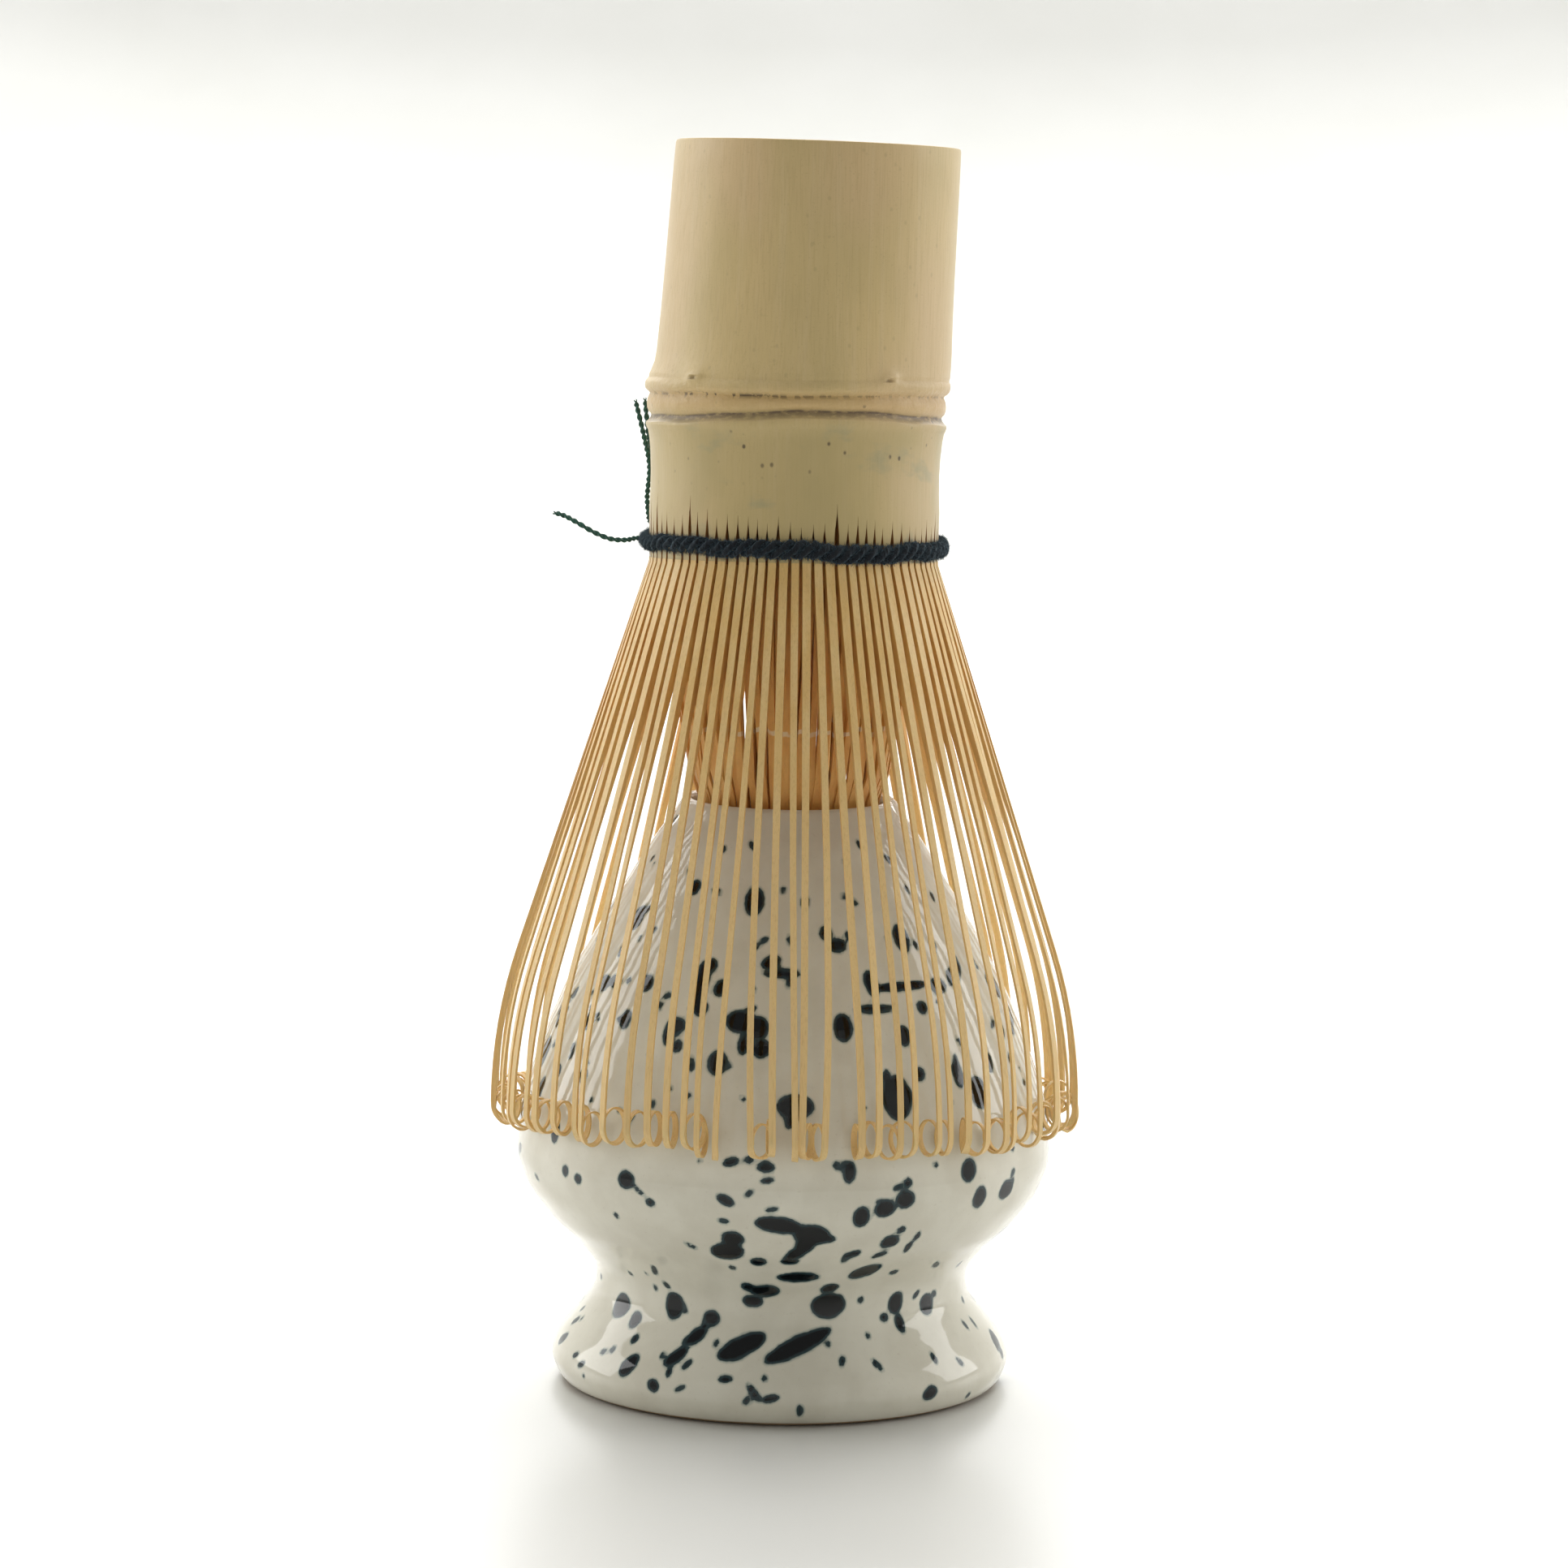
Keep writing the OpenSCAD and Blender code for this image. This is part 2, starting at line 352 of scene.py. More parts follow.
def bamboo_flesh(name, pale, deep, tip, roughness=0.55):
    """Split bamboo: pale and deep patches along the fibres, and another colour near the tips. On the inner
    tines that colour is darker: painted shade where they go down into the mouth of the stand.
    """
    look = Finish(name, roughness=roughness, upright=True)
    fibres = look.noise((7000, 7000, 140), detail=6, roughness=0.65)
    patches = look.noise((420, 420, 50), detail=3)
    height = look.height()
    colour = look.mix(look.ramp(patches, 0.35, 0.65), pale, deep)
    # Towards the lower ends the tip colour takes over; on the inner tines it is painted shade in the mouth
    # of the stand.
    colour = look.mix(look.ramp(height, 48, 82, 1, 0), colour, tip)
    colour = look.mix(look.ramp(fibres, 0.45, 0.8, 0, 0.32), colour, srgb(150, 106, 50))
    look.set(Base_Color=colour, Normal=look.bump(fibres, 0.4, 0.00006))
    look.shader.inputs["Subsurface Weight"].default_value = 0.3
    look.shader.inputs["Subsurface Radius"].default_value = (0.0028, 0.0018, 0.0009)
    return look.material


def add_shaving_line(material):
    """Where the knife came in, a thin pale line crosses the inner tines."""
    look = Finish.around(material)
    uneven = look.ramp(look.noise((500, 500, 100), detail=2), 0.3, 0.7, -0.35, 0.35)
    height = look.math("ADD", look.height(), uneven)
    line = look.math("MULTIPLY", look.ramp(height, 70.6, 70.8), look.ramp(height, 71.1, 71.3, 1, 0))
    gaps = look.ramp(look.noise((700, 700, 200), detail=2), 0.42, 0.52, 0.1, 0.8)
    line = look.math("MULTIPLY", line, gaps)
    under = look.shader.inputs["Base Color"].links[0].from_socket
    look.set(Base_Color=look.mix(line, under, srgb(232, 214, 172)))


def cut_end():
    look = Finish("cut_end", roughness=0.7)
    bundles = look.cells((2600, 2600, 300))
    tone = look.noise((300, 300, 300), detail=3)
    colour = look.mix(look.ramp(tone, 0.3, 0.7), srgb(214, 190, 142), srgb(196, 166, 112))
    colour = look.mix(look.ramp(bundles, 0.1, 0.3, 0.75, 0), colour, srgb(122, 88, 48))
    look.set(Base_Color=colour, Normal=look.bump(bundles, 0.4, 0.0001))
    return look.material


SKIN = bamboo_skin()
CUT_END = cut_end()
SLIT_BROWN = srgb(176, 126, 70)
SLIT_FLESH = bamboo_flesh("slit_flesh", SLIT_BROWN, srgb(150, 102, 52), SLIT_BROWN)
TINE_SKIN = bamboo_flesh(
    "tine_skin", srgb(226, 194, 134), srgb(220, 182, 114), srgb(228, 196, 136), roughness=0.45
)
TINE_FLESH = bamboo_flesh("tine_flesh", srgb(222, 180, 108), srgb(206, 156, 84), srgb(232, 198, 134))
# The last colour of the inner tines is darker: painted shade where they go down into the mouth of the
# stand.
INNER_FLESH = bamboo_flesh("inner_flesh", srgb(240, 192, 112), srgb(222, 160, 80), srgb(204, 146, 72))
add_shaving_line(INNER_FLESH)
bamboo = (SKIN, CUT_END, SLIT_FLESH, TINE_SKIN, TINE_FLESH, INNER_FLESH)
print("bamboo finishes:", ", ".join(finish.name for finish in bamboo))

# %% [markdown]
# ## The culm
# Handle, node and barrel are one tube of bamboo with a wall of 4 to 5 mm and a septum across it
# at the node. A cylinder with loop cuts could give the shape, but a spin of the half section
# makes the outside, the bore and the septum in one go. Its vertices are then moved a little,
# because bamboo doesn't grow on a lathe: the handle leaves the node at a slight angle and is cut
# a little askew, the ridge is wavy, and two bud scars stand out above it.

# %% Shape of the culm
random.seed(41)
TINES = 72
PITCH = 2 * math.pi / TINES
HANDLE_TOP = 133 * MM
NODE_Z = 105.5 * MM
GROOVE_Z = 104 * MM
RIDGE_Z = 107.2 * MM
SPLIT_Z = 94 * MM
CROWN_Z = FREE_Z + 0.1 * MM
BEND_Z = 106 * MM
HANDLE_BEND = math.tan(math.radians(3))
HANDLE_OFFSET = 0.45 * MM
SCAR_ANGLES = (math.radians(-133), math.radians(-54))
SCAR_Z = 108.1 * MM
CUT_SLANT = Vector((-0.019, 0.014))

splint_edges = [0.0]
for index in range(TINES):
    closer_at_front = 1 + 0.13 * math.sin(index * PITCH)
    splint_edges.append(splint_edges[-1] + closer_at_front * random.uniform(0.84, 1.18))
splint_edges = [edge / splint_edges[-1] * 2 * math.pi for edge in splint_edges]
splint_angles = [(a + b) / 2 for a, b in zip(splint_edges, splint_edges[1:])]
splint_spans = [b - a for a, b in zip(splint_edges, splint_edges[1:])]


def culm_section():
    """Half section from the underside of the septum, down the inside, up the outside and back."""
    crown_z, top = CROWN_Z / MM, HANDLE_TOP / MM
    inside = [(0, 103.6), (6, 103.5), (10.8, 102.6), (11.5, 100), (11.5, 95.2), (12.2, 94.6), (14.3, 94.6)]
    crown = [(14.3, 91), (14.35, crown_z), (15.4, crown_z), (15.45, 91), (15.5, 94)]
    barrel = [(15.42, 96), (15.4, 98), (15.46, 100), (15.6, 101.6), (15.75, 102.5)]
    lip = [(15.9, 102.8), (16.02, 103.2), (15.96, 103.45), (15.76, 103.6)]
    groove = [(15.6, 103.8), (15.5, 104.0), (15.42, 104.2), (15.5, 104.4)]
    band = [(15.72, 104.6), (15.86, 104.95), (15.9, 105.4), (15.84, 105.8), (15.7, 106.1), (15.62, 106.3)]
    ridge = [(15.7, 106.45), (15.96, 106.6), (16.14, 106.8), (16.24, 107.1), (16.24, 107.4)]
    flare = [(16.16, 107.7), (16.0, 107.9), (15.96, 108.1), (16.0, 108.3), (15.96, 108.55), (15.88, 109)]
    handle = [(15.76, 109.8), (15.68, 111), (15.6, 113), (15.5, 116), (15.4, 120), (15.3, 125), (15.2, 130)]
    rim = [(15.12, top - 0.3), (15.04, top - 0.05), (14.9, top), (10.2, top), (10.0, top - 0.15)]
    hollow = [(10.0, 128), (10.0, 118), (9.9, 109), (8.6, 106.4), (5, 105.8), (0, 105.6)]
    outline = inside + crown + barrel + lip + groove + band + ridge + flare + handle + rim + hollow
    return [Vector((r * MM, 0, z * MM)) for r, z in outline]


def bud_scars(angle, z, at_z, wide, tall):
    """1 in the middle of either bud scar and 0 away from both."""
    return sum(hump(turn_from(at, angle), wide) * hump(z - at_z, tall) for at in SCAR_ANGLES)


def groove_rise(angle):
    """How far the groove below the node rises, in millimetres: it arches up at the front right."""
    arch = 0.62 * hump(turn_from(math.radians(-70), angle), 0.8)
    return arch + 0.12 * math.sin(3 * angle) + 0.06 * math.sin(11 * angle) - 0.15


def ridge_rise(angle):
    """The same for the ridge above it."""
    return 0.14 * math.sin(2 * angle + 2) + 0.08 * math.sin(5 * angle) + 0.05 * math.sin(13 * angle)


def shape_culm(bm):
    """Moves the turned tube's vertices: a bent handle cut a little askew, a wavy node, two bud scars."""
    for vert in bm.verts:
        radius, angle, z = math.hypot(vert.co.x, vert.co.y), math.atan2(vert.co.y, vert.co.x), vert.co.z
        if radius > 12 * MM and z > SPLIT_Z:
            scars = bud_scars(angle, z, SCAR_Z, 0.065, 0.5 * MM)
            pits = bud_scars(angle, z, SCAR_Z - 0.1 * MM, 0.028, 0.2 * MM)
            groove = hump(z - GROOVE_Z, 1.5 * MM) * groove_rise(angle)
            ridge = hump(z - RIDGE_Z, 1.3 * MM) * ridge_rise(angle)
            z += (groove + ridge) * MM
            uneven = 0.06 * noise.noise(polar(1, angle, z * 60) * 9) * hump(z - NODE_Z, 3 * MM)
            out_of_round = 0.06 * math.cos(2 * angle + 0.6) + 0.04 * math.cos(3 * angle)
            radius += (0.58 * scars - 0.55 * pits + uneven) * MM
            radius += out_of_round * smooth_step(98 * MM, 103 * MM, z) * MM
        above = max(z - BEND_Z, 0)
        sideways = HANDLE_OFFSET * smooth_step(107 * MM, 110.5 * MM, z) + HANDLE_BEND * above
        vert.co = polar(radius, angle, z) + Vector((sideways, 0, 0))
        vert.co.z += CUT_SLANT.dot(vert.co.xy) * smooth_step(122 * MM, HANDLE_TOP, z)


culm_bm = turned(culm_section(), 360)
shape_culm(culm_bm)
culm_bm.transform(WHISK)
CULM_FINISHES = [SKIN, SLIT_FLESH, CUT_END]
culm = finish_piece(culm_bm, "culm", CULM_FINISHES, sharp_angle=32)

# %% [markdown]
# Below the node the wall is split into splints. They could be made one by one, but then each
# would have to grow out of the wall at its top. Wedges cut out of the wall with a Boolean end at
# uneven heights, as a split does. They are widest at the lower end and close to nothing, and a
# few run on as hairline cracks.

# %% Slits between the splints
SLIT_TOPS = (92.9, 93.1, 93.2, 93.4, 93.5, 93.7, 93.9, 95.6)
WEDGE = [(0.0, 0.004), (0.14, 0.03), (0.3, 0.12), (0.44, 0.2), (0.6, 0.2), (0.72, 0.13), (1.0, 0.12)]


def yarn_rise(angle):
    """How far the band of yarn rises, in millimetres: it sits a little lower at the front."""
    return 0.4 + 0.5 * math.sin(angle) - 0.25 * math.cos(angle) + 0.12 * math.sin(3 * angle + 1)


def add_wedge(bm, edge, top, span):
    """A slit: a box cut across a few times, its two sides drawn together towards the top.

    WEDGE gives how far down each cut is and half its width, as shares of the height and the span.
    """
    made = bmesh.ops.create_cube(bm, size=1)["verts"]
    bmesh.ops.subdivide_edges(bm, edges=upright_edges(made), cuts=len(WEDGE) - 2, use_grid_fill=True)
    bm.verts.ensure_lookup_table()
    for vert in bm.verts[-4 * len(WEDGE):]:
        down, half = WEDGE[round((0.5 - vert.co.z) * (len(WEDGE) - 1))]
        radius = (18 if vert.co.x > 0 else 14) * MM
        height = top + (CROWN_Z - 1 * MM - top) * down
        vert.co = polar(radius, edge + math.copysign(half * span, vert.co.y), height)


slit_bm = bmesh.new()
for edge, before, after in zip(splint_edges, [splint_spans[-1]] + splint_spans, splint_spans):
    top = random.choice(SLIT_TOPS) + random.uniform(-0.3, 0.3) + yarn_rise(edge)
    add_wedge(slit_bm, edge, top * MM, (before + after) / 2)
slit_bm.transform(WHISK)
slits = finish_piece(slit_bm, "slits", [SLIT_FLESH])
cut = culm.modifiers.new("cut", "BOOLEAN")
cut.object = slits
cut.operation = "DIFFERENCE"
cut.solver = "EXACT"
bpy.context.view_layer.update()
cut_mesh = bpy.data.meshes.new_from_object(culm.evaluated_get(bpy.context.evaluated_depsgraph_get()))
culm.modifiers.clear()
culm.data = cut_mesh
bpy.data.objects.remove(slits)

# %% [markdown]
# Each face of the culm now gets its finish by where it looks: the cut end upwards, the slits
# sideways, and everything else skin. Painting a texture could tint the skin, but vertex
# attributes need no image: they carry grey-green weather and pits on the barrel, a warmer and
# rougher band at the node, painted shade in the groove below it and in the pits of the bud
# scars, and dots in the groove under the ridge.

# %% Finishes of the culm
to_upright = WHISK.inverted()
turn_upright = to_upright.to_3x3()
for face in culm.data.polygons:
    centre, normal = to_upright @ face.center, turn_upright @ face.normal
    radial = Vector((centre.x, centre.y, 0)).normalized()
    inside_wall = normal.dot(radial) < -0.3 and centre.z < HANDLE_TOP
    in_slit = centre.z < 98 * MM and abs(normal.dot(radial)) < 0.75
    if centre.z > HANDLE_TOP - 2 * MM and abs(normal.z) > 0.7:
        finish = CUT_END
    elif inside_wall or in_slit:
        finish = SLIT_FLESH
    else:
        finish = SKIN
    face.material_index = CULM_FINISHES.index(finish)


def tint(piece, name, value_at):
    """Stores a value on every vertex, worked out from its place on the upright whisk."""
    layer = piece.data.attributes.new(name, "FLOAT", "POINT")
    values = [value_at(to_upright @ vert.co) for vert in piece.data.vertices]
    layer.data.foreach_set("value", values)


def weathered_at(point):
    return 1 - smooth_step(102 * MM, 104.4 * MM, point.z)


def pitted_at(point):
    below_node = 1 - 0.85 * smooth_step(103 * MM, 108 * MM, point.z)
    return smooth_step(97 * MM, 99 * MM, point.z) * below_node


def recess_shade_at(point):
    """Painted shade: a dark line in the groove with a fainter one below it, and a speck in the pit of each
    bud scar.
    """
    angle = math.atan2(point.y, point.x)
    above_groove = point.z / MM - 104.15 - groove_rise(angle)
    lines = 0.9 * hump(above_groove, 0.16) + 0.55 * hump(above_groove + 0.35, 0.26)
    return min(1, lines + 0.6 * bud_scars(angle, point.z, SCAR_Z - 0.1 * MM, 0.03, 0.16 * MM))


def dotted_at(point):
    """A broken line under the ridge, strongest at the front left."""
    angle = math.atan2(point.y, point.x)
    strength = 0.4 + 0.6 * hump(angle - math.radians(-120), 0.5)
    return strength * hump(point.z / MM - 106.3 - 0.6 * ridge_rise(angle), 0.16)


tint(culm, "weathered", weathered_at)
tint(culm, "pitted", pitted_at)
tint(culm, "warm", lambda point: 0.4 * hump(point.z / MM - 105.6, 1.1))
# Painted shade in the groove below the node and in the pits of the bud scars.
tint(culm, "recess_shade", recess_shade_at)
tint(culm, "dotted", dotted_at)
tint(culm, "knotty", lambda point: hump(point.z / MM - 106.3, 1.8))
culm.data.shade_smooth()
culm.data.set_sharp_from_angle(angle=math.radians(32))
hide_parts("handle_culm", "splint_roots")
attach(culm, "whisk")
print(f"culm: {len(culm.data.polygons)} faces after the slits")

# %% [markdown]
# ## The outer tines
# Each outer tine carries on one splint. It is thick where it leaves the yarn, is shaved thin
# below, flares in a nearly straight line, bellies out and ends in a curl of about one turn. Its
# path is worked out first, as radius and height: a line, an arc that the line just touches, and
# a loop that tightens.

# %% Path of an outer tine
SPREAD_R = 31.6 * MM
TURN_Z = 30.2 * MM
BELLY_R = 55 * MM
RING_SHIFT = (STAND_H - TURN_Z) * math.tan(LEAN)
CURL_WIDE = 1.6 * MM
CURL_TALL = 1.24
ROOT_TOP = FREE_Z + 0.4 * MM
CURL_STARTS = 16
GROUP_WIDE = math.pi / 4
GROUP_START = -math.pi / 2 - 0.5 * GROUP_WIDE


def shaved(z, root, tip):
    """Thickness of a tine at a height: the knife takes it from the root's down to the tip's."""
    return tip + (root - tip) * smooth_step(62 * MM, 80 * MM, z)


def outer_tine_path(spread, turn_z, curl, tight):
    """Radius and height along the outer face of a tine, root first."""
    centre = Vector((spread - BELLY_R, turn_z))
    reach = Vector((SPLINT_R, FREE_Z)) - centre
    flare = math.atan2(reach.y, reach.x) - math.acos(BELLY_R / reach.length)
    belly = [
        (centre.x + BELLY_R * math.cos(a), centre.y + BELLY_R * math.sin(a))
        for a in np.linspace(flare, 0, 9)
    ]
    hinge, belly_start = Vector((SPLINT_R, FREE_Z)), Vector(belly[0])
    straight = [(SPLINT_R, ROOT_TOP), (SPLINT_R, FREE_Z)]
    straight += [tuple(hinge.lerp(belly_start, t)) for t in (0.04, 0.12, 0.25, 0.45, 0.7)]
    steps = max(int(curl / 11), 12)
    loop = []
    for i in range(1, steps + 1):
        a = math.radians(curl) * i / steps
        size = CURL_WIDE * (1 - (1 - tight) * i / steps)
        loop.append((spread - CURL_WIDE + size * math.cos(a), turn_z - CURL_TALL * size * math.sin(a)))
    return straight + belly + loop


# %% [markdown]
# A curve object with a bevel could follow the path, but it twists at the curl and can't show skin
# on one face only. So a tine is a box with a cut at every point of its path. The cuts are moved
# to their points and turned across the path. The outer face keeps the skin and the other three
# show the flesh.


# %% Making a tine
def add_strip(bm, centres, outward, across, widths, depths, flesh_index=1):
    """A box cut along its length and laid on a path: the outer face keeps the first material."""
    before = set(bm.faces)
    made = bmesh.ops.create_cube(bm, size=1)["verts"]
    bmesh.ops.subdivide_edges(bm, edges=upright_edges(made), cuts=len(centres) - 2, use_grid_fill=True)
    faces = [f for f in bm.faces if f not in before]
    for face in faces:
        middle_y = sum(v.co.y for v in face.verts) / len(face.verts)
        face.material_index = 0 if middle_y > 0.49 else flesh_index
    for vert in {v for f in faces for v in f.verts}:
        i = round((0.5 - vert.co.z) * (len(centres) - 1))
        side = across[i] * (vert.co.x * widths[i])
        vert.co = centres[i] + side + outward[i] * ((vert.co.y - 0.5) * depths[i])


def tine_frames(points, angle_of, pivot=0, turn_of=lambda i: 0):
    """Places, outward and sideways directions along a path of radius and height.

    Each point has its own angle round the whisk, and beyond the pivot radius the path may turn aside.
    """
    places, outs, sides = [], [], []
    for i, (radius, height) in enumerate(points):
        ahead, behind = points[min(i + 1, len(points) - 1)], points[max(i - 1, 0)]
        run = Vector((ahead[0] - behind[0], ahead[1] - behind[1])).normalized()
        angle = angle_of(i)
        facing = angle + turn_of(i)
        places.append(polar(pivot, angle, height) + polar(radius - pivot, facing, 0))
        outs.append(polar(-run.y, facing, run.x))
        sides.append(polar(1, facing + math.pi / 2, 0))
    return places, outs, sides


def add_outer_tine(bm, index):
    root_angle = splint_angles[index]
    drift = random.uniform(-0.36, 0.36) * PITCH
    spread = SPREAD_R + RING_SHIFT * math.sin(root_angle) + random.uniform(-0.25, 0.2) * MM
    turn_z = TURN_Z + random.uniform(-0.5, 0.6) * MM
    points = outer_tine_path(spread, turn_z, random.uniform(370, 500), random.uniform(0.78, 0.98))
    bow = random.uniform(-0.15, 0.15) * PITCH
    curl_turn = random.gauss(0, 0.3)

    def angle_of(i):
        down = min(max((FREE_Z - points[i][1]) / (FREE_Z - TURN_Z), 0), 1)
        return root_angle + drift * down + bow * math.sin(math.pi * down)

    def turn_of(i):
        return curl_turn * smooth_step(CURL_STARTS, CURL_STARTS + 9, i)

    centres, outs, sides = tine_frames(points, angle_of, spread, turn_of)
    twist = random.uniform(-0.22, 0.22)
    width = 0.7 * splint_spans[index] * SPLINT_R
    widths, depths = [], []
    for i, (_, height) in enumerate(points):
        down = smooth_step(FREE_Z, 60 * MM, height)
        turn = Matrix.Rotation(twist * smooth_step(80 * MM, 35 * MM, height), 3, outs[i].cross(sides[i]))
        outs[i], sides[i] = turn @ outs[i], turn @ sides[i]
        curl_part = smooth_step(CURL_STARTS, len(points), i)
        widths.append(width * (1 - 0.18 * down) * (1 - 0.4 * curl_part))
        depths.append(shaved(height, 1.05 * MM, 0.26 * MM) * (1 - 0.4 * curl_part))
    add_strip(bm, centres, outs, sides, widths, depths)


# %% [markdown]
# Every tine drifts, bows, twists and curls a little differently. The nine tines of a group are one
# piece.


# %% Groups of outer tines
def group_of(angle):
    """The group that an angle falls in. Group 1 is at the front, and the rest follow to its right."""
    return int(((angle - GROUP_START) % (2 * math.pi)) / GROUP_WIDE) + 1


for group in (8, 1, 2, 3, 4, 5, 6, 7):
    group_bm = bmesh.new()
    for index, angle in enumerate(splint_angles):
        if group_of(angle) == group:
            add_outer_tine(group_bm, index)
    group_bm.transform(WHISK)
    piece = finish_piece(group_bm, f"outer_tine_group_{group}", [TINE_SKIN, TINE_FLESH], sharp_angle=40)
    middle = -math.pi / 2 + (group - 1) * GROUP_WIDE
    start = WHISK @ polar(SPLINT_R, middle, FREE_Z)
    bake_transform(piece)
    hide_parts(f"outer_tines_{group}")

# %% [markdown]
# ## The inner tines
# The inner tines come from the same split wall but from its inner layer, so they are thinner and
# more golden. They are drawn together through the mouth of the stand and end in a loose point.
# They are made like the outer ones, on a path that runs straight between a few knots.


# %% Inner tines
def add_inner_tine(bm, angle, layer):
    """One inner tine; those of layer 1 stand a little inside their neighbours of layer 0."""
    heights = [94.4, 91, 88, 84, 80, 76, 71, 66, 63.4, 58, 52, 46, 40, 34, 29.5, 27.6]
    knots = [(27.6, 4.9 + 1.6 * layer), (45, 7.0 + 0.9 * layer), (63.4, 9.75), (66, 10.7)]
    knots += [(76, 12.45), (88, 13.9), (94.4, 13.9)]
    knot_heights, knot_radii = zip(*knots)
    wander = random.uniform(-0.3, 0.25) * MM
    points = []
    for z in heights:
        radius = float(np.interp(z, knot_heights, knot_radii))
        free = smooth_step(88, 76, z) * (0.35 if 60 < z < 68 else 1)
        points.append((radius * MM + wander * free - 0.35 * MM * layer * free, z * MM))
    drift = random.uniform(-0.6, 0.6) * PITCH

    def angle_of(i):
        return angle + drift * smooth_step(86 * MM, 60 * MM, points[i][1])

    centres, outs, sides = tine_frames(points, angle_of)
    wide = random.uniform(0.66, 0.84) * MM
    widths = []
    for _, z in points:
        towards_root = 1 + 0.3 * smooth_step(76 * MM, 88 * MM, z)
        above_tip = 0.6 + 0.4 * smooth_step(30 * MM, 62 * MM, z)
        widths.append(wide * towards_root * above_tip)
    depths = [shaved(z, 1.0 * MM, 0.18 * MM) for _, z in points]
    add_strip(bm, centres, outs, sides, widths, depths, flesh_index=0)


inner_bm = bmesh.new()
for index, edge in enumerate(splint_edges[:-1]):
    add_inner_tine(inner_bm, edge, index % 2)
inner_bm.transform(WHISK)
inner = finish_piece(inner_bm, "inner_tine_bundle", [INNER_FLESH], sharp_angle=40)
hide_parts("inner_tines_1", "inner_tines_2", "inner_tines_3", "inner_tines_4")
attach(inner, "whisk")

# %% [markdown]
# ## Yarn and thread
# The band is soft wool worked in and out of the splints, which looks like a rope with a lump for
# each of them. The thread is harder and thinner. Both are dyed dark, and light catches on their
# fibres, which a sheen over a dark base gives.


# %% Yarn and thread finishes
def wool(name, dark, light):
    look = Finish(name, roughness=0.9)
    fluff = look.noise((2600, 2600, 2600), detail=6, roughness=0.7)
    patches = look.noise((500, 500, 500), detail=3)
    colour = look.mix(look.ramp(fluff, 0.35, 0.75), dark, light)
    colour = look.mix(look.ramp(patches, 0.45, 0.75, 0, 0.35), colour, srgb(30, 42, 54))
    look.set(Base_Color=colour, Normal=look.bump(fluff, 0.9, 0.0002))
    look.shader.inputs["Sheen Weight"].default_value = 0.7
    look.shader.inputs["Sheen Roughness"].default_value = 0.35
    look.shader.inputs["Sheen Tint"].default_value = srgb(150, 180, 195)
    return look.material


def cotton():
    look = Finish("green_cotton", roughness=0.75)
    fibre = look.noise((4200, 4200, 4200), detail=4)
    colour = look.mix(look.ramp(fibre, 0.35, 0.7), srgb(16, 66, 54), srgb(34, 98, 82))
    look.set(Base_Color=colour, Normal=look.bump(fibre, 0.5, 0.00008))
    look.shader.inputs["Sheen Weight"].default_value = 0.4
    return look.material


# The fuzz is paler than the strands, because light shines through single fibres.
WOOL = wool("navy_wool", srgb(7, 11, 18), srgb(20, 28, 38))
FLUFF = wool("navy_fluff", srgb(28, 42, 52), srgb(66, 86, 98))
COTTON = cotton()
print("yarn finishes:", ", ".join(finish.name for finish in (WOOL, FLUFF, COTTON)))

# %% [markdown]
# A true plait would need a path over and under every splint. Three fat strands twisted round a
# ring give the same lumps, one for each splint. Noise makes each strand swell and thin as
# hand-spun wool does. A strand is a grid rolled up into a tube.

# %% Band of yarn
YARN_Z = 90.2 * MM
YARN_R = SPLINT_R + 0.38 * MM
STRANDS = 3
LUMPS = TINES // STRANDS


def yarn_middle(angle):
    sway = yarn_rise(angle) + 0.12 * math.sin(7 * angle) + 0.1 * math.sin(16 * angle)
    return polar(YARN_R, angle, YARN_Z + sway * MM)


def yarn_fullness(angle):
    """The band is fullest at the front, where its ends are tucked in, and slimmest at the back."""
    return 0.77 + 0.06 * math.cos(angle) - 0.21 * math.sin(angle)


def yarn_place(strand, ply=0.42 * MM):
    def place(u, v):
        angle, around = 2 * math.pi * u, 2 * math.pi * v
        lay = LUMPS * angle + 2 * math.pi * strand / STRANDS
        full = yarn_fullness(angle)
        radial, up = polar(1, angle, 0), Vector((0, 0, 1))
        middle = radial * (0.4 * MM * math.cos(lay)) + up * (0.58 * full * MM * math.sin(lay))
        ring = polar(1, angle, 0.1 * strand)
        slow = noise.noise(ring * 26)
        fluffy = noise.noise(ring * 110 + up * (2.5 * math.cos(around)))
        lump = 0.16 * math.cos(lay - 0.5)
        fat = ply * full * (1 + 0.3 * slow + 0.4 * fluffy + lump)
        shell = radial * (0.85 * fat * math.cos(around)) + up * (fat * math.sin(around))
        return yarn_middle(angle) + middle + shell

    return place


yarn_bm = bmesh.new()
for strand in range(STRANDS):
    wrapped_grid(yarn_bm, 1200, 14, yarn_place(strand))
yarn_bm.transform(WHISK)
yarn = finish_piece(yarn_bm, "binding_band", [WOOL], sharp_angle=180)
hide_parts("binding_yarn")
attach(yarn, "whisk")

# %% [markdown]
# Wool is fuzzy, and that shows at its outline. Hair particles could make the fuzz, but they would
# have to be turned into a mesh at the end. So each fibre is a thin cone with three sides, which is
# enough at its size. The fibres are made in small batches, because an operator slows down as its
# bmesh grows.

# %% Fuzz on the yarn
random.seed(7)
FIBRES = 18000
BATCHES = 60


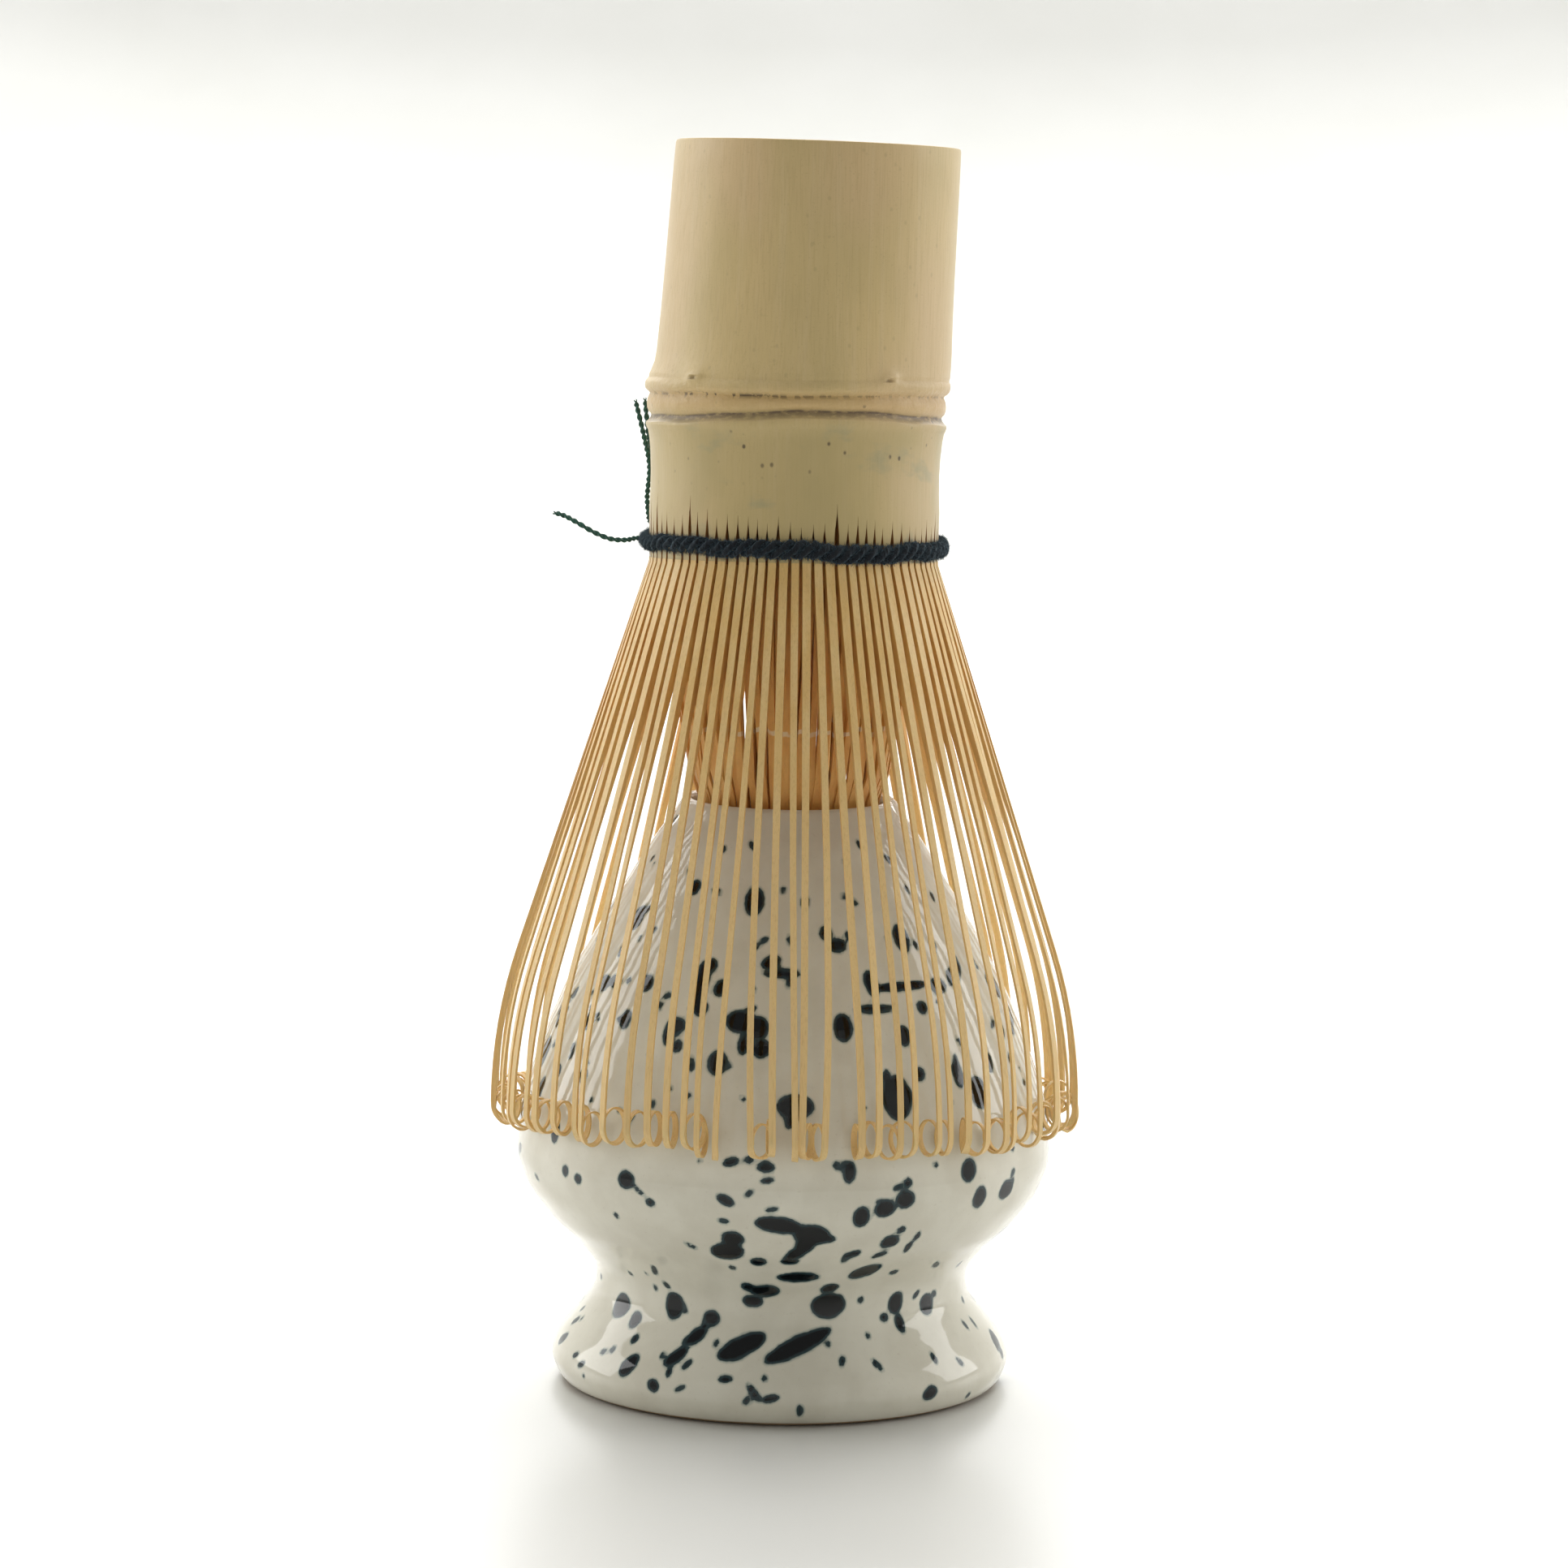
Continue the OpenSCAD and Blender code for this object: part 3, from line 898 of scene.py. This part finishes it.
def add_fibre(bm):
    """A fibre that stands off the band, outwards and a good deal astray."""
    angle = random.uniform(0, 2 * math.pi)
    around = random.uniform(-1.9, 1.9)
    radial, up = polar(1, angle, 0), Vector((0, 0, 1))
    out = radial * math.cos(around) + up * math.sin(around)
    tall = 0.86 * yarn_fullness(angle) * math.sin(around)
    root = yarn_middle(angle) + radial * (0.52 * math.cos(around) * MM) + up * (tall * MM)
    stray = Vector([random.uniform(-1, 1) for _ in range(3)])
    way = (0.7 * out + 1.5 * stray).normalized()
    length = random.uniform(0.2, 0.6) * MM
    turn = way.to_track_quat("Z", "Y").to_matrix().to_4x4()
    bmesh.ops.create_cone(
        bm, cap_ends=True, segments=3, radius1=0.019 * MM, radius2=0.008 * MM,
        depth=length, matrix=Matrix.Translation(root + way * (length / 2)) @ turn,
    )


fuzz_bm = bmesh.new()
for _ in range(BATCHES):
    batch_bm = bmesh.new()
    for _ in range(FIBRES // BATCHES):
        add_fibre(batch_bm)
    batch_mesh = bpy.data.meshes.new("fuzz_batch")
    batch_bm.to_mesh(batch_mesh)
    batch_bm.free()
    fuzz_bm.from_mesh(batch_mesh)
    bpy.data.meshes.remove(batch_mesh)
fuzz_bm.transform(WHISK)
fuzz = finish_piece(fuzz_bm, "binding_fuzz", [FLUFF], sharp_angle=180)
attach(fuzz, "whisk")

# %% [markdown]
# The tails are short ends of stiff thread: two plies twisted tightly, laid along a route of a few
# given points. A curve object would give one smooth cord, and the twist would have to
# be painted on; two tubes wound round each other have it in their shape.

# %% Thread tails
SIDE_ROUTE = [
    (-16.1, 0.2, 90.8), (-16.9, 0, 90.8), (-18, -0.2, 90.6), (-19.6, -0.4, 90.7),
    (-21.4, -0.5, 91.4), (-23.2, -0.4, 92.4), (-24.6, -0.2, 93.1), (-25.8, 0, 93.4),
]
UP_ROUTES = [
    [(-15.6, 6.2, 92.2), (-15.9, 5.8, 95), (-15.7, 5.4, 98.5), (-16.4, 4.6, 102), (-17.3, 3.8, 105.6)],
    [(-14.6, 8, 92.2), (-14.9, 7.4, 95), (-15.5, 6.6, 98.5), (-15.9, 5.9, 102), (-16.3, 5.2, 105.8)],
]


def along_route(points, share):
    """The point at a share, 0 to 1, of a smooth route."""
    place = share * (len(points) - 1)
    i = min(int(place), len(points) - 2)
    return curve_point(points, i, place - i)


def thread_place(route, ply, turns, ply_r=0.17 * MM):
    points = [Vector(point) * MM for point in route]

    def place(u, v):
        ahead, behind = along_route(points, min(u + 0.01, 1)), along_route(points, max(u - 0.01, 0))
        run = (ahead - behind).normalized()
        side = run.orthogonal().normalized()
        over = run.cross(side)
        lay = 2 * math.pi * turns * u + math.pi * ply
        offset = (side * math.cos(lay) + over * math.sin(lay)) * 0.13 * MM
        around = 2 * math.pi * v
        end = min(1, 0.25 + 12 * min(u, 1 - u))
        shell = (side * math.cos(around) + over * math.sin(around)) * ply_r * end
        return along_route(points, u) + offset + shell

    return place


def make_thread(name, routes, turns, node):
    bm = bmesh.new()
    for route in routes:
        for ply in range(2):
            wrapped_grid(bm, 120, 8, thread_place(route, ply, turns))
    bmesh.ops.holes_fill(bm, edges=[e for e in bm.edges if e.is_boundary])
    bm.transform(WHISK)
    thread = finish_piece(bm, name, [COTTON], sharp_angle=60)
    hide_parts(node)
    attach(thread, "whisk")


make_thread("thread_tail_left", [SIDE_ROUTE], 8, "thread_tail_side")
make_thread("thread_tails_standing", UP_ROUTES, 11, "thread_tails_up")

# %% [markdown]
# ## The stand
# A small thrown pot: a round foot, a narrow waist, a full shoulder and a mouth just wide enough
# for the inner tines. It is spun from its half section like the culm, with a denser section,
# because the splashes of the second glaze are stored on its vertices.

# %% Shape of the stand
def curve_through(points, steps):
    """A smooth curve through points, with a number of steps from each to the next."""
    points = [Vector(point) for point in points]
    made = [curve_point(points, i, s / steps) for i in range(len(points) - 1) for s in range(steps)]
    return made + [points[-1]]


def stand_section():
    """Half section from the middle of the underside, up the outside and down the hollow."""
    widest, top = STAND_HIGH[0] / MM, STAND_H / MM
    underside = [(0, 1.2), (17.6, 1.2), (18.3, 0.9), (18.6, 0.2), (18.9, 0)]
    foot = [(22.4, 0), (23.6, 0.5), (24.4, 1.8), (24.6, 3.2), (23.8, 5.2), (21.6, 7.9), (20.2, 10)]
    bowl = [(19.95, 11.8), (20.6, 13.6), (22.4, 15.8), (24.9, 18.2), (27.2, 21.2), (28.4, 24), (widest, 26)]
    shoulder = [(28.1, 30.5), (26.4, 36), (23.5, 43.2), (19.6, 50.4), (14.9, 58.2), (12.3, 61.9)]
    lip = [(11.6, 63.0), (11.1, top), (10.6, 63.2), (10.4, 62.2), (10.4, 60.4)]
    hollow = [(12.6, 57.5), (16.4, 50.4), (20.4, 43.2), (23.4, 36), (25.4, 26), (23.6, 19.4)]
    floor = [(17, 12), (13, 6), (0, 5)]
    outline = [Vector(point) for point in underside] + curve_through(foot + bowl, 9)[:-1]
    outline += curve_through([bowl[-1]] + shoulder, 15)
    outline += curve_through(lip, 3) + curve_through(hollow + floor, 3)
    return [Vector((point.x * MM, 0, point.y * MM)) for point in outline]


def add_throwing_marks(bm):
    """The faint rings and the slight wobble that the potter's fingers leave."""
    for vert in bm.verts:
        radius, angle, z = math.hypot(vert.co.x, vert.co.y), math.atan2(vert.co.y, vert.co.x), vert.co.z
        wobble = 0.12 * math.sin(2 * angle + z / (14 * MM))
        rings = 0.025 * math.sin(z / (0.55 * MM)) * smooth_step(4 * MM, 9 * MM, z)
        if radius > 5 * MM:
            vert.co.xy *= 1 + (wobble + rings) * MM / radius


stand_bm = turned(stand_section(), 360)
add_throwing_marks(stand_bm)

# %% [markdown]
# The dark splashes were flicked on with a brush, so they are drops of every size, some run
# together and, near the foot, drawn out sideways. A painted image could hold them, but it would
# need an unwrapped pot. Instead each vertex stores the distance to the drops, in millimetres and
# negative inside a drop, and the material draws a crisp, slightly ragged edge from it.


# %% Glaze
def glaze():
    look = Finish("splashed_glaze", roughness=0.12)
    mottle = look.noise((160, 160, 160), detail=4)
    fine = look.noise((2400, 2400, 2400), detail=3)
    white = look.mix(look.ramp(mottle, 0.3, 0.7), srgb(224, 220, 205), srgb(214, 209, 193))
    white = look.mix(look.ramp(fine, 0.62, 0.78, 0, 0.25), white, srgb(188, 178, 156))
    ragged = look.math("MULTIPLY", look.math("SUBTRACT", look.noise((600, 600, 600), detail=2), 0.5), 0.4)
    distance = look.math("ADD", look.attribute("splash"), ragged)
    thin_edge = look.ramp(distance, -0.42, -0.08)
    colour = look.mix(look.ramp(distance, 0, 0.26, 0.5, 0), white, srgb(96, 124, 118))
    splashed = look.mix(thin_edge, srgb(6, 10, 13), srgb(44, 62, 66))
    colour = look.mix(look.ramp(distance, -0.07, 0.07, 1, 0), colour, splashed)
    clay = look.ramp(look.attribute("clay"), 0.3, 0.7)
    colour = look.mix(clay, colour, srgb(168, 140, 108))
    look.set(Base_Color=colour, Roughness=look.math("ADD", look.math("MULTIPLY", clay, 0.6), 0.045))
    look.set(Normal=look.bump(mottle, 0.06, 0.0006, look.bump(fine, 0.05, 0.00005)))
    look.shader.inputs["IOR"].default_value = 1.5
    look.shader.inputs["Specular IOR Level"].default_value = 0.42
    return look.material


stand = finish_piece(stand_bm, "glazed_stand", [glaze()], sharp_angle=60)

# %% [markdown]
# The larger drops on the front are placed one by one, each as an ellipse: its angle from the front,
# its height, its length and width and, where it is slanted, its slant. The rest of the pot gets
# random drops of about the same sizes and number, upright on the shoulder and slanting on the foot.

# %% Splashes
random.seed(23)


def drop(angle, height, long, wide, slant=0):
    """A drop on the wall: degrees round from the front, then millimetres, and its tilt in degrees."""
    return (math.radians(angle - 90), height, long / 2, wide / 2, math.radians(slant))


WAIST_MARKS = [
    (-0.5, 22.3, 5.2, 2, -8), (6.5, 21.2, 4, 2.5, -10), (10, 20.8, 2, 1, -12), (5.4, 20.2, 2.6, 2, 40),
    (4.2, 19.2, 3.8, 1.5, 36), (2, 17.9, 1.9, 1), (-11, 20.5, 2.5, 2), (-12.8, 18.9, 3.7, 2.2, 8),
    (-5.6, 17.7, 1.8, 1.1), (4.5, 15.7, 4.6, 1.3), (-9.4, 14.3, 1.5, 1, -10), (-4.6, 13.9, 3.2, 1.6),
    (-8.4, 12.6, 2.2, 1.5), (14.2, 14.2, 2, 1.2, 15), (14.5, 12.2, 3.8, 2.9), (22.6, 16.2, 3.5, 1.7, 18),
    (17, 18.7, 1.7, 1, 15), (25.2, 20, 2.2, 1.7), (24, 18.4, 1.8, 0.7, 20), (27, 21.4, 1, 0.9),
    (17, 23.2, 1.9, 2.4), (22, 24, 2.5, 2), (26.4, 24.8, 2.3, 2.1), (27, 26.6, 1, 1.1),
]
FOOT_MARKS = [
    (-10.8, 8, 5.3, 2.1, 25), (5, 8.2, 7.8, 1.8, 22), (-34, 11.3, 2.4, 3), (-56, 10, 3, 2.6),
    (-47.5, 9.1, 1.7, 1.7), (-44, 7.5, 1, 1), (-21, 10.5, 2, 1.7), (-24.6, 8.6, 2.4, 1.5, 38),
    (-28.5, 6.6, 2.8, 1.4, 40), (-24.6, 6, 1.2, 0.7, 45), (-41.5, 5, 2.7, 1.8, 55),
    (-32.5, 3.6, 1.3, 1.5, 60), (-13.6, 5, 1.6, 0.7), (-6.4, 3.9, 2.2, 0.9, -50),
    (-2, 3.3, 1.9, 0.9, 10), (-8, 3, 1.1, 0.8, 50), (37.5, 11.8, 2, 2.5), (51, 11, 2.3, 2.3),
    (33.2, 10.4, 1.1, 1), (38.4, 9.6, 1.3, 2), (40.4, 2.8, 2.2, 1.5, 15),
]
BELLY_MARKS = [
    (42.7, 27.2, 2.2, 2.6), (46.5, 24, 2, 2.6, 10), (55.5, 24.2, 2.5, 2.2), (-34.8, 26, 2.1, 2),
    (-32, 25.2, 2.2, 0.5, -35), (-29, 23.9, 1.2, 1), (-12, 24.9, 2.1, 1.1, -25), (-3.7, 28.5, 1.9, 1.2),
    (-53, 25.6, 1.2, 1.3), (-48.6, 25.1, 1.2, 1.2), (-11, 28.9, 1.8, 1, 15), (-12.6, 22.6, 1.2, 0.6, -10),
]
SHOULDER_MARKS = [
    (26, 35.2, 3.5, 4.6), (32.6, 37.4, 1.6, 1.5), (49, 34.8, 2.8, 3.4), (2.5, 34.6, 3.9, 2.6),
    (-16, 38.6, 2.2, 2.6), (-5.7, 40.2, 2.1, 2), (-11.5, 42.8, 3.2, 2.4), (-7, 42.2, 2.6, 2.6),
    (14.4, 42.3, 2.2, 2.8), (37.6, 43.8, 1.4, 1.3), (33, 46, 6.4, 1), (23.6, 44, 4.6, 0.9),
    (45.4, 45.7, 2.4, 1.7), (53, 46.4, 2.3, 1.8), (-28, 41.9, 2.1, 1.8), (-22.5, 43.8, 1.8, 1.6),
    (-18, 45.9, 1.5, 1.8), (-44.2, 41.8, 1.6, 2), (-58, 40.8, 1.8, 1.9), (-41.3, 45.6, 2, 1.8),
    (-53, 45.2, 2, 1.4), (-1.3, 47.6, 4.3, 1), (-4.5, 48.6, 2.2, 1.4, 20), (-64.6, 35.2, 2, 1.6),
    (-52.8, 35.5, 1.5, 1.5), (-22, 48, 1.4, 1.6), (-11.6, 54.4, 2.2, 2.9), (37.6, 50.6, 2, 3),
    (15.2, 50.3, 2, 1.4), (12.2, 51.5, 1.5, 1.5), (-57, 51.5, 2, 2.6), (-36, 55.3, 1.6, 1.6),
    (6, 54.5, 1, 1.5),
]
drops = [drop(*mark) for mark in WAIST_MARKS + FOOT_MARKS + BELLY_MARKS + SHOULDER_MARKS]


def flick(low, high, count, biggest, slant_low, slant_high, arc=(70, 290)):
    """Drops of every size scattered over an arc of the wall, in degrees round from the front."""
    for _ in range(count):
        size = min(0.9 * math.exp(random.gauss(0.1, 0.6)), biggest)
        stretch = random.uniform(1.0, 2.2)
        slant = random.uniform(slant_low, slant_high)
        drops.append(drop(random.uniform(*arc), random.uniform(low, high), size * stretch, size, slant))


flick(1, 12, 64, 2.8, 0, 45)
flick(12, 26, 72, 2.8, -10, 30)
flick(26, 46, 140, 2.8, 60, 120)
flick(46, 61, 56, 2, 70, 110)
flick(28, 52, 34, 1.6, 70, 110, arc=(-75, 75))
flick(1, 60, 130, 0.65, 0, 180, arc=(-75, 75))


def merged(first, second, width=0.3):
    """The smaller of two distances, rounded where they meet, as wet drops run together."""
    share = np.clip(0.5 + 0.5 * (second - first) / width, 0, 1)
    return second + (first - second) * share - width * share * (1 - share)


def distance_to_drops(points):
    """Distance in millimetres from each point to the merged drops, along the wall."""
    radius = np.hypot(points[:, 0], points[:, 1])
    round_pot = np.arctan2(points[:, 1], points[:, 0])
    nearest = np.full(len(points), 6.0)
    for angle, height, long, wide, slant in drops:
        across = turn_from(angle, round_pot) * radius
        up = points[:, 2] - height
        u = across * math.cos(slant) + up * math.sin(slant)
        v = -across * math.sin(slant) + up * math.cos(slant)
        reach = np.hypot(u / long, v / wide)
        slope = np.hypot(u / long**2, v / wide**2) + 1e-6
        nearest = merged(nearest, reach * (reach - 1) / slope)
    return nearest


def store(piece, name, values):
    layer = piece.data.attributes.new(name, "FLOAT", "POINT")
    layer.data.foreach_set("value", values.astype(np.float32))


points = np.array([vert.co[:] for vert in stand.data.vertices]) / MM
store(stand, "splash", distance_to_drops(points))
store(stand, "clay", points[:, 2] < 0.45)
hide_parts("whisk_stand")
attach(stand, "stand")
print(f"{len(drops)} splashes on {len(points)} points")

# %% [markdown]
# ## Studio
# A pale round table that curves up into its own backdrop, so that there is no horizon from any
# side. A flat plane would show its edge. It is turned like the culm and the stand, and a
# Subdivision Surface modifier smooths its curve.


# %% Stage
def backdrop():
    """A plain pale grey with the faintest cloudiness."""
    look = Finish("pale_table", roughness=0.35)
    grain = look.noise((8, 8, 8), detail=3)
    look.set(Base_Color=look.mix(look.ramp(grain, 0.3, 0.7), srgb(216, 216, 213), srgb(211, 211, 207)))
    return look.material


table_section = [(0, 0), (0.4, 0), (0.8, 0), (1.1, 0.01), (1.35, 0.06)]
table_section += [(1.55, 0.18), (1.68, 0.38), (1.72, 0.7), (1.72, 1.2)]
table_bm = turned([(radius, 0, height) for radius, height in table_section], 96)
table = finish_piece(table_bm, "table", [backdrop()], sharp_angle=180)
soften = table.modifiers.new("soften", "SUBSURF")
soften.levels = 2
soften.render_levels = 2

# %% [markdown]
# Large soft lights stand behind, beside and above the object, so that its edges glow and its front
# stays in gentle shade. One of them only brightens the far wall of the backdrop.


# %% Lights
def softbox(name, place, size, power, aim_at=(0, 0, 0.07)):
    data = bpy.data.lights.new(name, "AREA")
    data.shape = "RECTANGLE"
    data.size, data.size_y = size
    data.energy = power
    light = bpy.data.objects.new(name, data)
    bpy.context.scene.collection.objects.link(light)
    light.location = place
    light.rotation_euler = (Vector(aim_at) - Vector(place)).to_track_quat("-Z", "Y").to_euler()
    light.visible_camera = False


softbox("back_light", (0, 1.15, 0.75), (1.7, 0.8), 16)
softbox("left_light", (-0.95, 0.3, 0.4), (0.6, 0.6), 3.6)
softbox("right_light", (0.95, 0.25, 0.4), (0.5, 0.6), 3)
softbox("top_light", (0, 0.3, 1.3), (1.2, 0.9), 9)
softbox("backdrop_light", (0, 0.7, 1.3), (2.2, 0.5), 14, aim_at=(0, 1.6, 0.15))

world = bpy.data.worlds.new("world")
bpy.context.scene.world = world
world.use_nodes = True
background = world.node_tree.nodes["Background"]
background.inputs["Color"].default_value = (1, 0.985, 0.95, 1)
background.inputs["Strength"].default_value = 0.26
bpy.context.scene.view_settings.view_transform = "Standard"
print(f"{len(bpy.data.lights)} soft lights and a faint warm sky")
